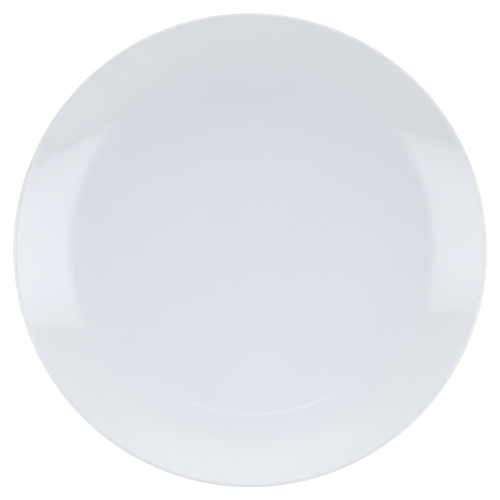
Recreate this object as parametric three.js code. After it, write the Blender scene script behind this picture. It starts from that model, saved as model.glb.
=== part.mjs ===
// A coupe dessert plate of white glazed porcelain, in millimetres, +Z up.
// The origin is at the centre of the foot ring, on the surface that the plate stands on.
//
// A fired plate is three solids fused together. The porcelain body is pressed in one piece with its foot
// ring. A glaze coat runs from the well over the lip and down to the foot. The foot is wiped bare before
// firing, so that it doesn't stick to the kiln shelf, and that parts the coat from a second, smaller
// patch of glaze inside the foot ring.

import * as THREE from "three";

// Driving sizes of the finished plate
const RIM_DIAMETER = 200; // across the glazed lip
const PLATE_HEIGHT = 20; // from the table to the top of the glazed lip
const WELL_DIAMETER = 132; // flat floor of the dish, before the wall starts to rise
const FLOOR_THICKNESS = 4; // porcelain between the well and the recess under it
const LIP_THICKNESS = 1.9; // porcelain at the lip, which ends in a full round
const FOOT_DIAMETER = 116; // outer edge of the landing that the plate stands on
const FOOT_HEIGHT = 2.8; // from the table to the underside
const LANDING_WIDTH = 3.4; // from the outer to the inner edge of the landing
const FOOT_DRAFT = 18; // degrees that each flank of the foot leans from upright
const FOOT_FILLET = 1.2; // hollow round where a flank meets the underside
const LANDING_ROUND = 0.5; // round on both edges of the landing
const UNDERSIDE_FLAT = 5; // flat ring between the foot and the start of the outer wall
const GLAZE_THICKNESS = 0.25; // fired glaze on the porcelain
const BARE_FOOT_HEIGHT = 1; // how far up the foot the glaze is wiped off

// Facets round the plate and along the curves of its section
const FACETS_AROUND = 60;
const WALL_STEPS = 8;
const LIP_QUARTER_STEPS = 4;
const LIP_END_STEPS = 2;
const FILLET_STEPS = 3;
const LANDING_ROUND_STEPS = 2;
const SAME_POINT = 1e-6;

// Half-section: x is the distance from the plate's axis and y is the height above the table
const point = (radius, height) => new THREE.Vector2(radius, height);

function arc(centre, radius, fromAngle, toAngle, steps) {
  const clockwise = toAngle < fromAngle;
  return new THREE.ArcCurve(centre.x, centre.y, radius, fromAngle, toAngle, clockwise).getPoints(steps);
}

// The round, tangent to both sides, that takes the place of a sharp corner, as large as its sides let it be
function roundedCorner(before, corner, after, fullRadius, steps) {
  const toBefore = before.clone().sub(corner).normalize();
  const toAfter = after.clone().sub(corner).normalize();
  const halfAngle = toBefore.angleTo(toAfter) / 2;
  const shorterSide = Math.min(corner.distanceTo(before), corner.distanceTo(after));
  const radius = Math.min(fullRadius, shorterSide * Math.tan(halfAngle));
  const toCentre = toBefore.clone().add(toAfter).normalize();
  const centre = corner.clone().addScaledVector(toCentre, radius / Math.sin(halfAngle));
  const sweep = Math.PI - 2 * halfAngle;
  const turn = Math.sign(toAfter.cross(toBefore));
  const middle = toCentre.clone().negate().angle();
  return arc(centre, radius, middle - (turn * sweep) / 2, middle + (turn * sweep) / 2, steps);
}

// Stretches of outline as one, where a point that repeats the one before it is dropped
function chain(...stretches) {
  const repeats = (p, before) => before && p.distanceTo(before) < SAME_POINT;
  return stretches.flat().filter((p, i, all) => !repeats(p, all[i - 1]));
}

// An outline moved sideways by an even distance, to the right of the way that it runs
function offset(outline, distance) {
  const sides = outline.slice(1).map((p, i) => p.clone().sub(outline[i]).normalize());
  return outline.map((p, i) => {
    const arriving = sides[Math.max(i - 1, 0)];
    const leaving = sides[Math.min(i, sides.length - 1)];
    const along = arriving.clone().add(leaving).normalize();
    const reach = distance / along.dot(leaving);
    return point(p.x + along.y * reach, p.y - along.x * reach);
  });
}

// Foot ring, which narrows from the underside to its flat landing
const draftRun = FOOT_HEIGHT * Math.tan(THREE.MathUtils.degToRad(FOOT_DRAFT));
const bareRun = (draftRun * BARE_FOOT_HEIGHT) / FOOT_HEIGHT;
const landingOuter = point(FOOT_DIAMETER / 2, 0);
const landingInner = point(landingOuter.x - LANDING_WIDTH, 0);
const landingMiddle = landingOuter.clone().lerp(landingInner, 0.5);
const creaseOuter = point(landingOuter.x + draftRun, FOOT_HEIGHT);
const creaseInner = point(landingInner.x - draftRun, FOOT_HEIGHT);
const glazeLineOuter = point(landingOuter.x + bareRun, BARE_FOOT_HEIGHT);
const glazeLineInner = point(landingInner.x - bareRun, BARE_FOOT_HEIGHT);
const recessCentre = point(0, FOOT_HEIGHT);

// Lip, a full round whose glaze reaches the rim diameter and the plate's height
const lipRadius = LIP_THICKNESS / 2;
const lipCentre = point(
  RIM_DIAMETER / 2 - GLAZE_THICKNESS - lipRadius,
  PLATE_HEIGHT - GLAZE_THICKNESS - lipRadius,
);

// Face of the dish: one arc that leaves the flat well level and runs into the lip
const wellCentre = point(0, FOOT_HEIGHT + FLOOR_THICKNESS);
const wellEdge = point(WELL_DIAMETER / 2, wellCentre.y);
const faceRun = lipCentre.clone().sub(wellEdge);
const faceRadius = (faceRun.lengthSq() - lipRadius ** 2) / (2 * (faceRun.y + lipRadius));
const faceCentre = point(wellEdge.x, wellEdge.y + faceRadius);
const faceEndAngle = lipCentre.clone().sub(faceCentre).angle();

// Back of the wall: an arc that leaves the underside level and runs into the lip, so the wall tapers
const wallStart = point(creaseOuter.x + UNDERSIDE_FLAT, FOOT_HEIGHT);
const backRun = lipCentre.clone().sub(wallStart);
const backRadius = (backRun.lengthSq() - lipRadius ** 2) / (2 * (backRun.y - lipRadius));
const backCentre = point(wallStart.x, wallStart.y + backRadius);
const backEndAngle = lipCentre.clone().sub(backCentre).angle();

// Angles round a circle of the section
const DOWN = (3 * Math.PI) / 2;
const OUTWARD = 2 * Math.PI;
const UP = OUTWARD + Math.PI / 2;

// The body's outline, from the middle of the recess round to the middle of the well, in three stretches:
// the glazed recess, the bare foot, and the glazed back, lip and dish
const recessSide = chain(
  [recessCentre],
  roundedCorner(recessCentre, creaseInner, glazeLineInner, FOOT_FILLET, FILLET_STEPS),
  [glazeLineInner],
);
const bareFoot = chain(
  [glazeLineInner],
  roundedCorner(glazeLineInner, landingInner, landingMiddle, LANDING_ROUND, LANDING_ROUND_STEPS),
  roundedCorner(landingMiddle, landingOuter, glazeLineOuter, LANDING_ROUND, LANDING_ROUND_STEPS),
  [glazeLineOuter],
);
const dishSide = chain(
  [glazeLineOuter],
  roundedCorner(glazeLineOuter, creaseOuter, wallStart, FOOT_FILLET, FILLET_STEPS),
  arc(backCentre, backRadius, DOWN, backEndAngle, WALL_STEPS),
  arc(lipCentre, lipRadius, backEndAngle, OUTWARD, LIP_END_STEPS),
  arc(lipCentre, lipRadius, OUTWARD, UP, LIP_QUARTER_STEPS),
  arc(lipCentre, lipRadius, UP, faceEndAngle + Math.PI, LIP_END_STEPS),
  arc(faceCentre, faceRadius, faceEndAngle, DOWN, WALL_STEPS),
  [wellCentre],
);

// A solid turned about the plate's axis from its half-section
function turned(name, section, finish) {
  const geometry = new THREE.LatheGeometry(section, FACETS_AROUND).rotateX(Math.PI / 2);
  const mesh = new THREE.Mesh(geometry, new THREE.MeshStandardMaterial(finish));
  mesh.name = name;
  return mesh;
}

// A coat of even thickness on a stretch of the body's outline
function coated(name, stretch, finish) {
  const surface = offset(stretch, GLAZE_THICKNESS);
  return turned(name, [...surface, ...stretch.toReversed(), surface[0]], finish);
}

const barePorcelain = { color: 0xece7df, roughness: 0.8, metalness: 0 };
const whiteGlaze = { color: 0xdbe0e6, roughness: 0.06, metalness: 0 };

const plate = new THREE.Group();
plate.add(
  turned("porcelain_body", chain(recessSide, bareFoot, dishSide), barePorcelain),
  coated("dish_glaze", dishSide, whiteGlaze),
  coated("recess_glaze", recessSide, whiteGlaze),
);

export default plate;
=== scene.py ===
import math

import bpy
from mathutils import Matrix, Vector


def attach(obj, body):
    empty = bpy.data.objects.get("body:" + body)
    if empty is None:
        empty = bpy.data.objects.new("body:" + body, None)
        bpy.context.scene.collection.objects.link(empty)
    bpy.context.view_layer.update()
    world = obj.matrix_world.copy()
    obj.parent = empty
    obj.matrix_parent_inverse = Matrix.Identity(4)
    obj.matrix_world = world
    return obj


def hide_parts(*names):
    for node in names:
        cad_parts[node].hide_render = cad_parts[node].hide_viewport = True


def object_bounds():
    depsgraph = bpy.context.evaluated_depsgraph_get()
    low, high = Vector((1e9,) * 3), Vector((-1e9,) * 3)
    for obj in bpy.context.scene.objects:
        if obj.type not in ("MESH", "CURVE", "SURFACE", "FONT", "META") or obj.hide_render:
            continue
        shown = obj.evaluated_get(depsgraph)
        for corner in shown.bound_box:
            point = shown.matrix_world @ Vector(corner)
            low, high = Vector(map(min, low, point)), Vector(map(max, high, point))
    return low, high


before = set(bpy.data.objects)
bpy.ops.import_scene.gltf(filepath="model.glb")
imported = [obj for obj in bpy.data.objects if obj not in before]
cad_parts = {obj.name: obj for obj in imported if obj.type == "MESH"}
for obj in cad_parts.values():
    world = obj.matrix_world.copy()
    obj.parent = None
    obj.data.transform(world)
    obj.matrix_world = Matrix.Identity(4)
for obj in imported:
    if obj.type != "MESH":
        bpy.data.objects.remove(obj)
cad_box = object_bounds()


# The porcelain: pressed in one piece with its foot ring, then fired hard and white. It shows bare only
# on the foot, where the glaze is wiped off so that the plate doesn't stick to the kiln shelf.
MEASURE_TOLERANCE = 1e-5
LEVEL_FACE = 0.9999


def section_points(node):
    """A CAD node's points as (distance from the plate's axis, height), in metres."""
    return [(math.hypot(v.co.x, v.co.y), v.co.z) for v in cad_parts[node].data.vertices]


def height_of(point):
    """The height of a point of the section."""
    return point[1]


def level_heights(facing):
    """The heights of the porcelain's level faces that look up (1) or down (-1)."""
    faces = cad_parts["porcelain_body"].data.polygons
    return [face.center.z for face in faces if face.normal.z * facing > LEVEL_FACE]


body_points = section_points("porcelain_body")
recess_height = max(level_heights(-1))
well_height = min(level_heights(1))


def body_radii_at(height):
    """How far from the axis the porcelain's points at a height lie."""
    return [r for r, z in body_points if abs(z - height) < MEASURE_TOLERANCE]


well_radius = min(r for r in body_radii_at(well_height) if r > MEASURE_TOLERANCE)
landing_inner, landing_outer = min(body_radii_at(0)), max(body_radii_at(0))
recess_radius = max(r for r in body_radii_at(recess_height) if r < landing_inner)
underside_inner = min(r for r in body_radii_at(recess_height) if r > landing_outer)
underside_outer = max(body_radii_at(recess_height))

# The glaze ends square on the foot's outer flank, so its two lowest points give the flank's lean
glaze_points = section_points("dish_glaze")
glaze_end = min(glaze_points, key=height_of)
glaze_line = min((p for p in glaze_points if p[1] > glaze_end[1] + MEASURE_TOLERANCE), key=height_of)
glaze_thickness = math.dist(glaze_end, glaze_line)
flank_lean = math.atan2(glaze_line[1] - glaze_end[1], glaze_end[0] - glaze_line[0])
foot_turn = math.pi / 2 - flank_lean
corner_share = math.tan(foot_turn / 2)
foot_corner = glaze_line[0] - glaze_line[1] * math.tan(flank_lean)
foot_crease = foot_corner + recess_height * math.tan(flank_lean)
landing_round = (foot_corner - landing_outer) / corner_share
foot_fillet = (underside_inner - foot_crease) / corner_share
bare_flank = glaze_line[1] / math.cos(flank_lean) - landing_round * corner_share
glazed_flank = (recess_height - glaze_line[1]) / math.cos(flank_lean) - foot_fillet * corner_share

# The lip is a full round, and one arc on each side of the wall runs into it
rim_radius, lip_height = max(body_points)
lip_centre = max(body_points, key=height_of)[0]
lip_round = rim_radius - lip_centre


def wall_arc(start_radius, start_height, lip_side):
    """The radius and turn of the arc from a level floor into the lip, on its face (1) or back (-1)."""
    run = lip_centre - start_radius
    rise = lip_height - start_height
    radius = (run**2 + rise**2 - lip_round**2) / (2 * (rise + lip_side * lip_round))
    return radius, math.atan2(run, radius - rise)


face_radius, face_turn = wall_arc(well_radius, well_height, lip_side=1)
back_radius, back_turn = wall_arc(underside_outer, recess_height, lip_side=-1)
lip_turn = math.pi + face_turn - back_turn

RECESS_STEPS = 12
FILLET_STEPS = 10
FLANK_STEPS = 1
LANDING_ROUND_STEPS = 8
LANDING_STEPS = 4
UNDERSIDE_STEPS = 2
WALL_STEPS = 26
LIP_STEPS = 30
WELL_STEPS = 14
SPIN_STEPS = 240

# Each stretch of the half-section is a list of straights, as (length, 0, steps), and of tangent rounds,
# as (radius, turn, steps), with the porcelain on the left of the way that it runs
recess_stretch = [
    (recess_radius, 0, RECESS_STEPS),
    (foot_fillet, -foot_turn, FILLET_STEPS),
    (glazed_flank, 0, FLANK_STEPS),
]
foot_stretch = [
    (bare_flank, 0, FLANK_STEPS),
    (landing_round, foot_turn, LANDING_ROUND_STEPS),
    (landing_outer - landing_inner, 0, LANDING_STEPS),
    (landing_round, foot_turn, LANDING_ROUND_STEPS),
    (bare_flank, 0, FLANK_STEPS),
]
dish_stretch = [
    (glazed_flank, 0, FLANK_STEPS),
    (foot_fillet, -foot_turn, FILLET_STEPS),
    (underside_outer - underside_inner, 0, UNDERSIDE_STEPS),
    (back_radius, back_turn, WALL_STEPS),
    (lip_round, lip_turn, LIP_STEPS),
    (face_radius, -face_turn, WALL_STEPS),
    (well_radius, 0, WELL_STEPS),
]

MERGE_DISTANCE = 1e-7
SMOOTH_ANGLE = math.radians(40)


def draw_section(name, start, heading, stretch):
    """A new piece in edit mode: one point, drawn out along a stretch of the half-section."""
    at = Vector((start[0], 0, start[1]))
    bpy.ops.object.select_all(action="DESELECT")
    bpy.ops.mesh.primitive_plane_add(size=glaze_thickness, location=at)
    piece = bpy.context.object
    piece.name = piece.data.name = name
    bpy.ops.object.transform_apply(location=True, rotation=False, scale=False)
    bpy.ops.object.mode_set(mode="EDIT")
    bpy.ops.mesh.merge(type="CENTER")
    for size, turn, steps in stretch:
        if turn:
            to_left = Vector((-math.sin(heading), 0, math.cos(heading)))
            centre = at + to_left * math.copysign(size, turn)
            bpy.ops.mesh.spin(steps=steps, angle=turn, center=centre, axis=(0, 1, 0))
            heading += turn
            to_left = Vector((-math.sin(heading), 0, math.cos(heading)))
            at = centre - to_left * math.copysign(size, turn)
        else:
            step = Vector((math.cos(heading), 0, math.sin(heading))) * size / steps
            for _ in range(steps):
                bpy.ops.mesh.extrude_region_move(TRANSFORM_OT_translate={"value": step})
            at += step * steps
    return piece


def spin_section(inside_out=False):
    """Spins the drawn half-section about the plate's axis and closes its seam and poles."""
    bpy.ops.mesh.select_all(action="SELECT")
    bpy.ops.mesh.spin(steps=SPIN_STEPS, angle=math.tau, center=(0, 0, 0), axis=(0, 0, 1))
    bpy.ops.mesh.select_all(action="SELECT")
    bpy.ops.mesh.remove_doubles(threshold=MERGE_DISTANCE)
    bpy.ops.mesh.normals_make_consistent(inside=inside_out)
    bpy.ops.object.mode_set(mode="OBJECT")
    bpy.ops.object.shade_smooth_by_angle(angle=SMOOTH_ANGLE)


body_stretch = recess_stretch + foot_stretch + dish_stretch
porcelain = draw_section("porcelain", (0, recess_height), 0, body_stretch)
spin_section()


def add_node(tree, kind, values=None, **settings):
    """A shader node with its settings and the values of its input sockets."""
    made = tree.nodes.new(kind)
    for name, value in settings.items():
        setattr(made, name, value)
    for socket, value in (values or {}).items():
        if isinstance(value, bpy.types.NodeSocket):
            tree.links.new(value, made.inputs[socket])
        else:
            made.inputs[socket].default_value = value
    return made


def new_finish(name):
    """An empty node material with its surface shader and the piece's own coordinates."""
    finish = bpy.data.materials.new(name)
    finish.use_nodes = True
    tree = finish.node_tree
    tree.nodes.clear()
    shader = add_node(tree, "ShaderNodeBsdfPrincipled")
    add_node(tree, "ShaderNodeOutputMaterial", {"Surface": shader.outputs["BSDF"]})
    place = add_node(tree, "ShaderNodeTexCoord").outputs["Object"]
    return finish, tree, shader, place


def noise(tree, place, size, detail=2.0):
    """Soft noise whose spots are about one size across, in metres."""
    values = {"Vector": place, "Scale": 1 / size, "Detail": detail}
    return add_node(tree, "ShaderNodeTexNoise", values).outputs["Fac"]


def ramp(tree, value, start, end, low=0, high=1, curve="LINEAR"):
    """Runs from low, where a value is at the start, to high at the end, and stays so beyond them."""
    values = {"Value": value, "From Min": start, "From Max": end, "To Min": low, "To Max": high}
    made = add_node(tree, "ShaderNodeMapRange", values, clamp=True, interpolation_type=curve)
    return made.outputs["Result"]


def calculate(tree, operation, first, second):
    """One sum on two numbers or sockets."""
    return add_node(tree, "ShaderNodeMath", {0: first, 1: second}, operation=operation).outputs["Value"]


# Where the Mix node, which has sockets for every kind of value, keeps those for colours
MIX_FACTOR, MIX_FIRST, MIX_SECOND, MIX_RESULT = 0, 6, 7, 2


def blend_colours(tree, factor, first, second):
    """Two colours, or sockets, mixed by a factor."""
    values = {MIX_FACTOR: factor, MIX_FIRST: first, MIX_SECOND: second}
    return add_node(tree, "ShaderNodeMix", values, data_type="RGBA").outputs[MIX_RESULT]


def roughen(tree, shader, height, depth):
    """Raises the surface by a height of 0 to 1 times a depth in metres."""
    bump = add_node(tree, "ShaderNodeBump", {"Height": height, "Distance": depth})
    tree.links.new(bump.outputs["Normal"], shader.inputs["Normal"])


FIRED_WHITE = (0.78, 0.75, 0.70, 1)
FIRED_CREAM = (0.70, 0.66, 0.60, 1)
GRAIN_SHADE = (0.62, 0.58, 0.52, 1)
IRON_BROWN = (0.24, 0.17, 0.11, 1)
RUBBED_GREY = (0.55, 0.54, 0.52, 1)
NOISE_RANGE = (0.3, 0.7)
CLOUD_SIZE = 0.012
GRAIN_SIZE = 0.0007
GRAIN_STRENGTH = 0.35
GRAIN_DEPTH = 0.00004
SPECK_SPACING = 0.004
SPECK_FADE = (0.04, 0.07)
SPECK_STRENGTH = 0.8
RUBBED_HEIGHT = 0.0002
RUBBED_MOST = 0.6
MATT_ROUGHNESS = 0.85
RUBBED_ROUGHNESS = 0.6


def bare_porcelain_finish():
    """Matt fired porcelain: a fine sugary grain, a few iron specks, and a landing rubbed grey."""
    finish, tree, shader, place = new_finish("bare_porcelain")
    grain = noise(tree, place, GRAIN_SIZE, detail=6.0)
    cloud = noise(tree, place, CLOUD_SIZE, detail=3.0)
    colour = blend_colours(tree, ramp(tree, cloud, *NOISE_RANGE), FIRED_WHITE, FIRED_CREAM)
    grain_shade = ramp(tree, grain, *NOISE_RANGE, high=GRAIN_STRENGTH)
    colour = blend_colours(tree, grain_shade, colour, GRAIN_SHADE)
    cells = add_node(tree, "ShaderNodeTexVoronoi", {"Vector": place, "Scale": 1 / SPECK_SPACING})
    specks = ramp(tree, cells.outputs["Distance"], *SPECK_FADE, low=SPECK_STRENGTH, high=0)
    colour = blend_colours(tree, specks, colour, IRON_BROWN)
    height = add_node(tree, "ShaderNodeSeparateXYZ", {"Vector": place}).outputs["Z"]
    rubbed = calculate(tree, "MULTIPLY", ramp(tree, height, 0, RUBBED_HEIGHT, low=1, high=0), cloud)
    colour = blend_colours(tree, rubbed, colour, RUBBED_GREY)
    tree.links.new(colour, shader.inputs["Base Color"])
    roughness = ramp(tree, rubbed, 0, RUBBED_MOST, MATT_ROUGHNESS, RUBBED_ROUGHNESS)
    tree.links.new(roughness, shader.inputs["Roughness"])
    roughen(tree, shader, grain, GRAIN_DEPTH)
    return finish


porcelain.data.materials.append(bare_porcelain_finish())
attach(porcelain, "root")
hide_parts("porcelain_body")


# The dish glaze: one glossy coat over the back, the lip and the dish, melted on in the second firing.
# It is clear over white porcelain, so it looks white, and it ends in a rounded edge on the foot's flank.
EDGE_ROUND_SHARE = 0.4
EDGE_ROUND_STEPS = 3
EDGE_ANGLE = math.radians(60)


def coat_outline(stretch):
    """A stretch of the section as it runs on the outside of the glaze."""
    coat = []
    for size, turn, steps in stretch:
        if turn:
            size += math.copysign(glaze_thickness, turn)
        coat.append((size, turn, steps))
    return coat


def thicken_coat(piece):
    """Gives a spun glaze surface its thickness, towards the porcelain, and rounds its edge."""
    coat = piece.modifiers.new("glaze_thickness", "SOLIDIFY")
    coat.thickness = glaze_thickness
    coat.offset = -1
    coat.use_even_offset = True
    bpy.ops.object.modifier_apply(modifier=coat.name)
    edge = piece.modifiers.new("rounded_edge", "BEVEL")
    edge.width = EDGE_ROUND_SHARE * glaze_thickness
    edge.segments = EDGE_ROUND_STEPS
    edge.limit_method = "ANGLE"
    edge.angle_limit = EDGE_ANGLE
    bpy.ops.object.modifier_apply(modifier=edge.name)
    bpy.ops.object.shade_smooth_by_angle(angle=SMOOTH_ANGLE)


dish_glaze = draw_section("glaze_over_dish", glaze_end, foot_turn, coat_outline(dish_stretch))
spin_section()
thicken_coat(dish_glaze)

GLAZE_IOR = 1.55
# Pooled glaze lies cooler in the well; the wall's lighter colour is also painted light, fitted to how
# bright the wall looks
POOLED_WHITE = (0.6855, 0.7305, 0.764, 1)
DRAPED_AND_PAINTED_LIGHT_WHITE = (0.701, 0.736, 0.762, 1)
# Thin glaze at the lip and at the glaze's edge on the foot; on the lip its darker, warmer tone is also
# painted shade
THIN_AND_LIP_SHADE_WHITE = (0.708, 0.728, 0.742, 1)
POOL_AND_PAINTED_LIGHT_FADE = (-0.006, 0.022)
LIP_FADE = (-0.0016, -0.0002)
EDGE_FADE = 0.0006
TONE_SIZE = 0.03
TONE_RANGE = (0.994, 1.006)
SHEEN_SIZE = 0.008
SHEEN_ROUGHNESS = (0.03, 0.06)
LEVEL_PART = (1, 1, 0)


def soft_ramp(tree, value, start, end, low=0, high=1):
    """A ramp that eases in and out."""
    return ramp(tree, value, start, end, low, high, curve="SMOOTHSTEP")


def glaze_finish(name):
    """Glossy white glaze, cool where it lies thick and warmer where it runs thin, with painted light that
    makes the wall lighter than the well and painted shade in the lip's tone, and its colour.
    """
    finish, tree, shader, place = new_finish(name)
    shader.inputs["IOR"].default_value = GLAZE_IOR
    level = add_node(tree, "ShaderNodeVectorMath", {0: place, 1: LEVEL_PART}, operation="MULTIPLY")
    from_axis = add_node(tree, "ShaderNodeVectorMath", {0: level.outputs["Vector"]}, operation="LENGTH")
    radius = from_axis.outputs["Value"]
    height = add_node(tree, "ShaderNodeSeparateXYZ", {"Vector": place}).outputs["Z"]
    on_wall = soft_ramp(tree, radius, well_radius + POOL_AND_PAINTED_LIGHT_FADE[0], well_radius + POOL_AND_PAINTED_LIGHT_FADE[1])
    on_lip = soft_ramp(tree, radius, lip_centre + LIP_FADE[0], lip_centre + LIP_FADE[1])
    at_edge = soft_ramp(tree, height, glaze_line[1] + EDGE_FADE, glaze_line[1])
    # Painted light: the wall is coloured lighter than the well, on top of the pooled glaze's cooler tint
    colour = blend_colours(tree, on_wall, POOLED_WHITE, DRAPED_AND_PAINTED_LIGHT_WHITE)
    # Painted shade: the lip gets the darker, warmer thin-glaze colour, as does the glaze's real thin edge
    # on the foot
    colour = blend_colours(tree, calculate(tree, "MAXIMUM", on_lip, at_edge), colour, THIN_AND_LIP_SHADE_WHITE)
    tone = ramp(tree, noise(tree, place, TONE_SIZE), *NOISE_RANGE, *TONE_RANGE)
    colour = add_node(tree, "ShaderNodeHueSaturation", {"Color": colour, "Value": tone}).outputs["Color"]
    sheen = ramp(tree, noise(tree, place, SHEEN_SIZE), *NOISE_RANGE, *SHEEN_ROUGHNESS)
    tree.links.new(sheen, shader.inputs["Roughness"])
    return finish, tree, shader, place, colour


# Pin marks in the well, as (x, y, radius, depth of tone): pits that burst in the melt and healed over
PIN_MARKS = [
    (-0.0538, -0.0020, 0.0010, 0.12),
    (0.0434, -0.0306, 0.0017, 0.08),
    (-0.0010, -0.0402, 0.0020, 0.02),
]
PIN_GREY = (0.40, 0.41, 0.42, 1)
RIPPLE_SIZE = 0.022
RIPPLE_DEPTH = 0.00003


def dish_glaze_finish():
    """The glaze of the dish, with its slow ripples and the few pin marks in the well."""
    finish, tree, shader, place, colour = glaze_finish("dish_glaze_gloss")
    for x, y, size, depth in PIN_MARKS:
        middle = (x, y, well_height + glaze_thickness)
        distance = add_node(tree, "ShaderNodeVectorMath", {0: place, 1: middle}, operation="DISTANCE")
        mark = soft_ramp(tree, distance.outputs["Value"], size, 0, high=depth)
        colour = blend_colours(tree, mark, colour, PIN_GREY)
    tree.links.new(colour, shader.inputs["Base Color"])
    roughen(tree, shader, noise(tree, place, RIPPLE_SIZE, detail=1.0), RIPPLE_DEPTH)
    return finish


dish_glaze.data.materials.append(dish_glaze_finish())
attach(dish_glaze, "root")
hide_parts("dish_glaze")


# The recess glaze: the same glaze inside the foot ring, cut off from the rest by the bare foot.
# It shows the faint rings that the forming tool leaves on the underside.
recess_start = (0, recess_height - glaze_thickness)
recess_glaze = draw_section("glaze_in_recess", recess_start, 0, coat_outline(recess_stretch))
spin_section(inside_out=True)
thicken_coat(recess_glaze)

RING_SPACING = 0.0026
RING_WOBBLE = 2.0
RING_DEPTH = 0.00002
WAVE_RADIANS = 20


def recess_glaze_finish():
    """The glaze of the recess, over faint and uneven forming rings."""
    finish, tree, shader, place, colour = glaze_finish("recess_glaze_gloss")
    tree.links.new(colour, shader.inputs["Base Color"])
    scale = math.tau / (WAVE_RADIANS * RING_SPACING)
    values = {"Vector": place, "Scale": scale, "Distortion": RING_WOBBLE, "Detail": 1.0}
    rings = add_node(tree, "ShaderNodeTexWave", values, wave_type="RINGS", rings_direction="Z")
    roughen(tree, shader, rings.outputs["Fac"], RING_DEPTH)
    return finish


recess_glaze.data.materials.append(recess_glaze_finish())
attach(recess_glaze, "root")
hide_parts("recess_glaze")


# The table: a plain white sheet a hair below the foot, which is no part of the plate.
# It is clear from underneath, so that the foot and the recess can be looked at from there.
TABLE_DROP = 0.0001
TABLE_WIDTH = 12.0
SHEET_GREY = (0.3, 0.3, 0.3, 1)
SHEET_GLOW = 0.78
SHEET_WHITE = 1.0
SHEET_FADE = (0.3, 0.8)
SHEET_FILL = 0.35

bpy.ops.object.select_all(action="DESELECT")
bpy.ops.mesh.primitive_plane_add(size=TABLE_WIDTH, location=(0, 0, -TABLE_DROP))
table = bpy.context.object
table.name = "table"


def seen_directly(tree):
    """1 for what the camera, a gloss or a clear piece looks at, and 0 for light that a surface gathers."""
    paths = add_node(tree, "ShaderNodeLightPath").outputs
    seen = calculate(tree, "MAXIMUM", paths["Is Camera Ray"], paths["Is Glossy Ray"])
    return calculate(tree, "MAXIMUM", seen, paths["Is Transmission Ray"])


def sheet_finish():
    """White paper, lit from behind, that keeps the plate's shadow and runs out into plain white."""
    finish = bpy.data.materials.new("white_sheet")
    finish.use_nodes = True
    tree = finish.node_tree
    tree.nodes.clear()
    place = add_node(tree, "ShaderNodeTexCoord").outputs["Object"]
    from_plate = add_node(tree, "ShaderNodeVectorMath", {0: place}, operation="LENGTH").outputs["Value"]
    seen_glow = soft_ramp(tree, from_plate, *SHEET_FADE, SHEET_GLOW, SHEET_WHITE)
    glow = ramp(tree, seen_directly(tree), 0, 1, SHEET_FILL, seen_glow)
    lit = add_node(tree, "ShaderNodeEmission", {"Strength": glow}).outputs["Emission"]
    matt = add_node(tree, "ShaderNodeBsdfDiffuse", {"Color": SHEET_GREY}).outputs["BSDF"]
    paper = add_node(tree, "ShaderNodeAddShader", {0: lit, 1: matt}).outputs["Shader"]
    clear = add_node(tree, "ShaderNodeBsdfTransparent").outputs["BSDF"]
    from_below = add_node(tree, "ShaderNodeNewGeometry").outputs["Backfacing"]
    sheet = add_node(tree, "ShaderNodeMixShader", {0: from_below, 1: paper, 2: clear}).outputs["Shader"]
    add_node(tree, "ShaderNodeOutputMaterial", {"Surface": sheet})
    return finish


table.data.materials.append(sheet_finish())


# The light: a large soft panel on the left and right, dim curtains on all sides that only the gloss
# mirrors, a white card at the near edge, a low strip at the far side, a narrow tube high above, and a
# pale room that is brighter on the far side.
def area_light(name, place, direction, width, height, radiance):
    """An even rectangular light that shines along a direction and that the camera doesn't see."""
    turn = Vector(direction).to_track_quat("-Z", "Y").to_euler()
    bpy.ops.object.light_add(type="AREA", location=place, rotation=turn)
    light = bpy.context.object
    light.name = name
    light.data.shape = "RECTANGLE"
    light.data.size = width
    light.data.size_y = height
    light.data.energy = radiance * math.pi * width * height
    light.visible_camera = False
    return light


LEFT, RIGHT = Vector((-1, 0, 0)), Vector((1, 0, 0))
NEAR, FAR = Vector((0, -1, 0)), Vector((0, 1, 0))
UPRIGHT = Vector((0, 0, 1))
PANEL_LEAN = math.radians(15)
PANEL_DISTANCE = 0.9
PANEL_FOOT = -0.2
FOOT_FEATHER = 0.35
LILAC_CLOTH, WHITE_CLOTH, CREAM_CLOTH = (1.0, 0.97, 1.02), (1.0, 1.0, 1.0), (1.0, 1.0, 0.75)


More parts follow.
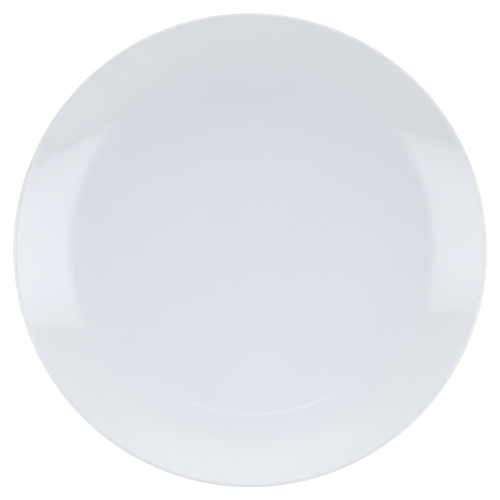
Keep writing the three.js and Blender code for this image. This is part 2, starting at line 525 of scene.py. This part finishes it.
def soft_panel(
    name, stands, tint, low_side, high_side, side_level, side_feather, top, top_feather, radiance,
    foot_level=1,
):
    """A cloth-fronted light that leans over the plate.

    It stands on one side of the table, and fades to a level at its sides and foot and out at its top. Its
    own two sides are slanting lines, each as its place in x or y at the table and its change with height.
    """
    out = stands * math.cos(PANEL_LEAN) + UPRIGHT * math.sin(PANEL_LEAN)
    up = UPRIGHT * math.cos(PANEL_LEAN) - stands * math.sin(PANEL_LEAN)
    along = Vector((abs(stands.y), abs(stands.x), 0))
    foot, head = (out * PANEL_DISTANCE + up * reach for reach in (PANEL_FOOT, top))
    lowest = low_side[0] + low_side[1] * head.z
    highest = high_side[0] + high_side[1] * foot.z
    middle = (foot + head + along * (lowest + highest)) / 2
    panel = area_light(name, middle, -out, highest - lowest, top - PANEL_FOOT, radiance)
    panel.data.color = tint
    panel.data.use_nodes = True
    tree = panel.data.node_tree
    tree.nodes.clear()
    place = add_node(tree, "ShaderNodeNewGeometry").outputs["Position"]
    height = add_node(tree, "ShaderNodeSeparateXYZ", {"Vector": place}).outputs["Z"]
    projected = add_node(tree, "ShaderNodeVectorMath", {0: place, 1: along}, operation="DOT_PRODUCT")
    across = projected.outputs["Value"]
    low_line, high_line = (
        calculate(tree, "ADD", calculate(tree, "MULTIPLY", height, slant), edge)
        for edge, slant in (low_side, high_side)
    )
    from_low = calculate(tree, "SUBTRACT", across, low_line)
    from_high = calculate(tree, "SUBTRACT", high_line, across)
    from_side = calculate(tree, "MINIMUM", from_low, from_high)
    sides = soft_ramp(tree, from_side, 0, side_feather, low=side_level)
    cloth = calculate(tree, "MULTIPLY", sides, calculate(tree, "GREATER_THAN", from_side, 0))
    rise = soft_ramp(tree, height, foot.z, foot.z + FOOT_FEATHER, low=foot_level)
    fall = soft_ramp(tree, height, head.z, head.z - top_feather)
    strength = calculate(tree, "MULTIPLY", cloth, calculate(tree, "MULTIPLY", rise, fall))
    glow = add_node(tree, "ShaderNodeEmission", {"Strength": strength})
    add_node(tree, "ShaderNodeOutputLight", {"Surface": glow.outputs["Emission"]})
    return panel


soft_panel(
    "right_panel", RIGHT, LILAC_CLOTH, low_side=(-0.31, -0.145), high_side=(0.31, -0.03),
    side_level=0.5, side_feather=0.2, top=1.55, top_feather=0.53, radiance=2.08,
)
soft_panel(
    "left_panel", LEFT, LILAC_CLOTH, low_side=(-0.43, -0.041), high_side=(0.25, -0.03),
    side_level=0.5, side_feather=0.2, top=1.37, top_feather=0.48, radiance=1.92,
)
right_curtain = soft_panel(
    "right_curtain", RIGHT, LILAC_CLOTH, low_side=(-1.6, 0), high_side=(-0.455, -0.155),
    side_level=1, side_feather=0.2, top=1.25, top_feather=0.5, radiance=0.36,
)
left_curtain = soft_panel(
    "left_curtain", LEFT, LILAC_CLOTH, low_side=(-1.3, 0), high_side=(-0.64, -0.03),
    side_level=1, side_feather=0.2, top=0.85, top_feather=0.4, radiance=0.3,
)
near_curtain = soft_panel(
    "near_curtain", NEAR, CREAM_CLOTH, low_side=(-0.5, 0), high_side=(0.5, 0),
    side_level=0.3, side_feather=0.3, top=0.6, top_feather=0.4, radiance=0.33,
)
far_curtain = soft_panel(
    "far_curtain", FAR, WHITE_CLOTH, low_side=(-0.65, 0), high_side=(0.65, 0),
    side_level=0.3, side_feather=0.35, top=1.15, top_feather=0.6, radiance=0.68, foot_level=0.1,
)
for curtain in (right_curtain, left_curtain, near_curtain, far_curtain):
    curtain.visible_diffuse = False

near_card = area_light(
    "near_card", place=(0, -0.14, 0.18), direction=(0, 1, 0), width=0.6, height=0.3, radiance=0.484
)
far_strip = area_light(
    "far_strip", place=(0, 0.9, 0.15), direction=(0, -6, -1), width=1.4, height=0.3, radiance=1.8
)
for fill in (near_card, far_strip):
    fill.visible_glossy = False

TUBE_SWING = math.radians(-19)

tube = area_light(
    "high_tube", place=(-0.06, 0.385, 4.0), direction=(0, 0, -1), width=0.51, height=0.05, radiance=3.0
)
tube.rotation_euler.z = TUBE_SWING

NEAR_ROOM = 0.333
FAR_ROOM = 0.91
SEEN_ROOM = 1.0
WALL_WHITE = (1, 1, 1, 1)

room = bpy.data.worlds.new("pale_room")
bpy.context.scene.world = room
room.use_nodes = True
room_tree = room.node_tree
room_tree.nodes.clear()
towards = add_node(room_tree, "ShaderNodeTexCoord").outputs["Generated"]
farness = add_node(room_tree, "ShaderNodeSeparateXYZ", {"Vector": towards}).outputs["Y"]
fill_light = ramp(room_tree, farness, 0, 1, NEAR_ROOM, FAR_ROOM)
filling, seen = (
    add_node(room_tree, "ShaderNodeBackground", {"Color": WALL_WHITE, "Strength": strength})
    for strength in (fill_light, SEEN_ROOM)
)
room_light = {0: seen_directly(room_tree), 1: filling.outputs["Background"], 2: seen.outputs["Background"]}
walls = add_node(room_tree, "ShaderNodeMixShader", room_light)
add_node(room_tree, "ShaderNodeOutputWorld", {"Surface": walls.outputs["Shader"]})


# The camera: straight above the dish with a long lens, which keeps the wall from leaning in the picture.
# Its height and place put the rim where it lies in the photo.
CAMERA_LENS = 200
SENSOR_WIDTH = 36
CAMERA_REACH = 20
PICTURE_PIXELS = 500
RIM_PIXELS = 474.4
PLATE_MIDDLE_PIXEL = (250.26, 250.24)

rim_top = cad_box[1].z
pixel = (cad_box[1].x - cad_box[0].x) / RIM_PIXELS
camera_place = (
    (PICTURE_PIXELS / 2 - PLATE_MIDDLE_PIXEL[0]) * pixel,
    (PLATE_MIDDLE_PIXEL[1] - PICTURE_PIXELS / 2) * pixel,
    rim_top + PICTURE_PIXELS * pixel * CAMERA_LENS / SENSOR_WIDTH,
)
bpy.ops.object.camera_add(location=camera_place, rotation=(0, 0, 0))
camera = bpy.context.object
camera.data.lens = CAMERA_LENS
camera.data.sensor_width = SENSOR_WIDTH
camera.data.clip_end = CAMERA_REACH
bpy.context.scene.camera = camera
bpy.context.scene.view_settings.view_transform = "Standard"
